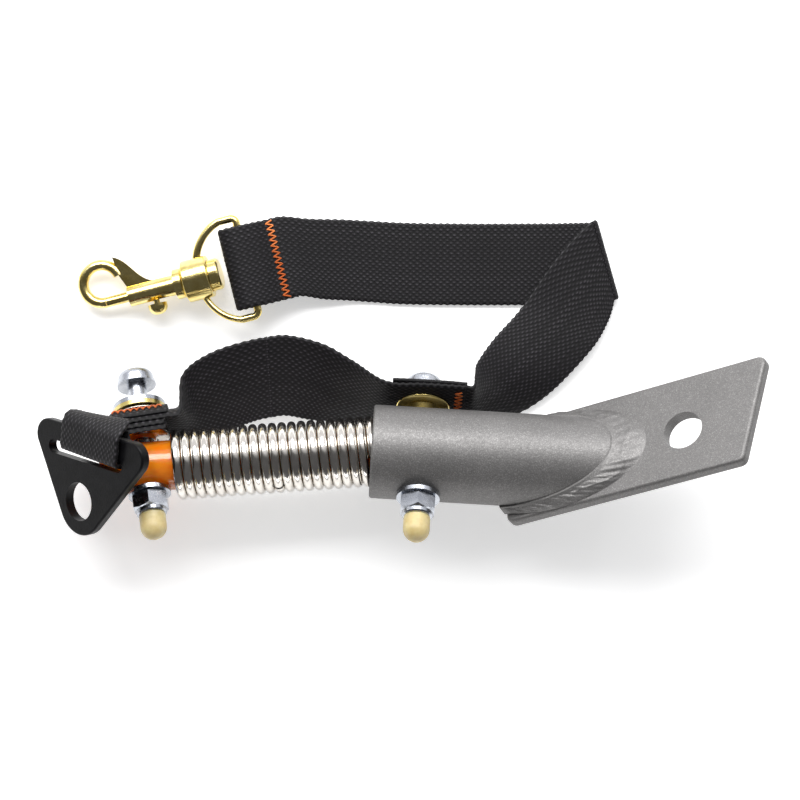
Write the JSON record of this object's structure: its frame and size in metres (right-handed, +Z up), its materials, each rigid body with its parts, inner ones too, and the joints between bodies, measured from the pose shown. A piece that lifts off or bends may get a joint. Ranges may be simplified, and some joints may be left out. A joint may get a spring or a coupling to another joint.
{
  "type": "bicycle trailer hitch arm",
  "caption": "Trailer hitch arm: slanted plate welded to a tube, spring-covered flexible rod held by cross bolts, and a webbing safety strap with triangle plate and swivel snap.",
  "frame": {"origin": "middle of the footprint of the arm as it lies on a table, on the table's surface", "axes": "+X along the arm from the strap's triangle plate to the hitch plate, +Y from the nuts' side to the snap's side, +Z up from the table"},
  "size_m": [0.2162, 0.0981, 0.0552],
  "materials": {
    "grey_coat": "satin metallic powder coat",
    "bush_nylon": "turned nylon",
    "orange_urethane": "glossy translucent urethane",
    "nickel": "bright nickel plate",
    "zinc": "bright zinc plate",
    "yellow_zinc": "yellow zinc plate",
    "nylon_insert": "nylon",
    "ivory_cap": "soft translucent plastic",
    "brass_plate": "bright brass plate",
    "spring_steel": "spring steel",
    "webbing": "plain woven polypropylene webbing",
    "orange_thread": "polyester sewing thread",
    "black_coat": "satin black coat"
  },
  "bodies": {
    "hitch": {"hitch_tube": "grey_coat", "hitch_plate": "grey_coat", "weld_bead": "grey_coat", "anchor_bush": "bush_nylon", "tube_bolt": "zinc", "tube_head_washer": "zinc", "tube_nut_washer": "zinc", "tube_locknut": "zinc", "tube_nut_insert": "nylon_insert", "tube_thread_cap": "ivory_cap", "tube_grommet": "brass_plate", "strap_tube_patch": "webbing", "tube_stitches": "orange_thread", "strap_bridge": "webbing"},
    "flex_mid": {"coil_spring": "nickel"},
    "arm_end": {"flex_rod": "orange_urethane", "arm_bolt": "zinc", "arm_plain_washer": "zinc", "arm_yellow_washer": "yellow_zinc", "arm_nut_washer": "zinc", "arm_locknut": "zinc", "arm_nut_insert": "nylon_insert", "arm_thread_cap": "ivory_cap", "arm_grommet": "nickel", "arm_stitches": "orange_thread", "strap_loop_front": "webbing", "strap_loop_back": "webbing"},
    "triangle": {"triangle_plate": "black_coat"},
    "strap_tail": {"strap_tail": "webbing"},
    "strap_run": {"strap_run": "webbing", "hook_stitches": "orange_thread"},
    "d_eye": {"snap_d_eye": "brass_plate"},
    "snap": {"snap_body": "brass_plate", "snap_rivet": "brass_plate", "snap_spring": "spring_steel"},
    "plunger": {"snap_plunger": "brass_plate", "snap_thumb_stud": "brass_plate"}
  },
  "joints": [
    {"name": "flex_side", "type": "hinge", "parent": "hitch", "child": "flex_mid", "pos_m": [-0.02147, -0.02356, 0.021], "axis": [0, 0, 1], "range_deg": [-8, 30], "stiffness_Nm_per_rad": 3, "deforming": ["coil_spring", "flex_rod", "strap_bridge"]},
    {"name": "flex_lift", "type": "hinge", "parent": "flex_mid", "child": "arm_end", "pos_m": [-0.0494, -0.02549, 0.021], "axis": [-0.0689, 0.9976, 0], "range_deg": [-25, 25], "stiffness_Nm_per_rad": 3, "deforming": ["coil_spring", "flex_rod", "strap_bridge"]},
    {"name": "triangle_swing", "type": "hinge", "parent": "arm_end", "child": "triangle", "pos_m": [-0.08907, -0.01966, 0.03138], "axis": [0.7372, -0.2262, 0.6367], "range_deg": [-60, 0], "deforming": ["strap_loop_front", "strap_loop_back"]},
    {"name": "tail_swing", "type": "hinge", "parent": "hitch", "child": "strap_tail", "pos_m": [0.02131, -0.00987, 0.01199], "axis": [0.0314, 0.529, 0.848], "range_deg": [0, 15]},
    {"name": "strap_unfold", "type": "hinge", "parent": "strap_tail", "child": "strap_run", "pos_m": [0.0634, 0.0355, 0.00185], "axis": [-0.2707, 0.9627, 0], "range_deg": [-100, 0]},
    {"name": "eye_hinge", "type": "hinge", "parent": "strap_run", "child": "d_eye", "pos_m": [-0.04553, 0.03336, 0.00839], "axis": [-0.2419, 0.9703, 0], "range_deg": [-60, 60]},
    {"name": "snap_swivel", "type": "hinge", "parent": "d_eye", "child": "snap", "pos_m": [-0.0606, 0.0296, 0.0069], "axis": [0.9658, 0.2408, 0.0958], "continuous": true},
    {"name": "plunger_slide", "type": "slide", "parent": "snap", "child": "plunger", "axis": [0.9658, 0.2408, 0.0958], "range_m": [0, 0.0039], "stiffness_N_per_m": 400, "springref_m": -0.002, "deforming": ["snap_spring"]}
  ]
}
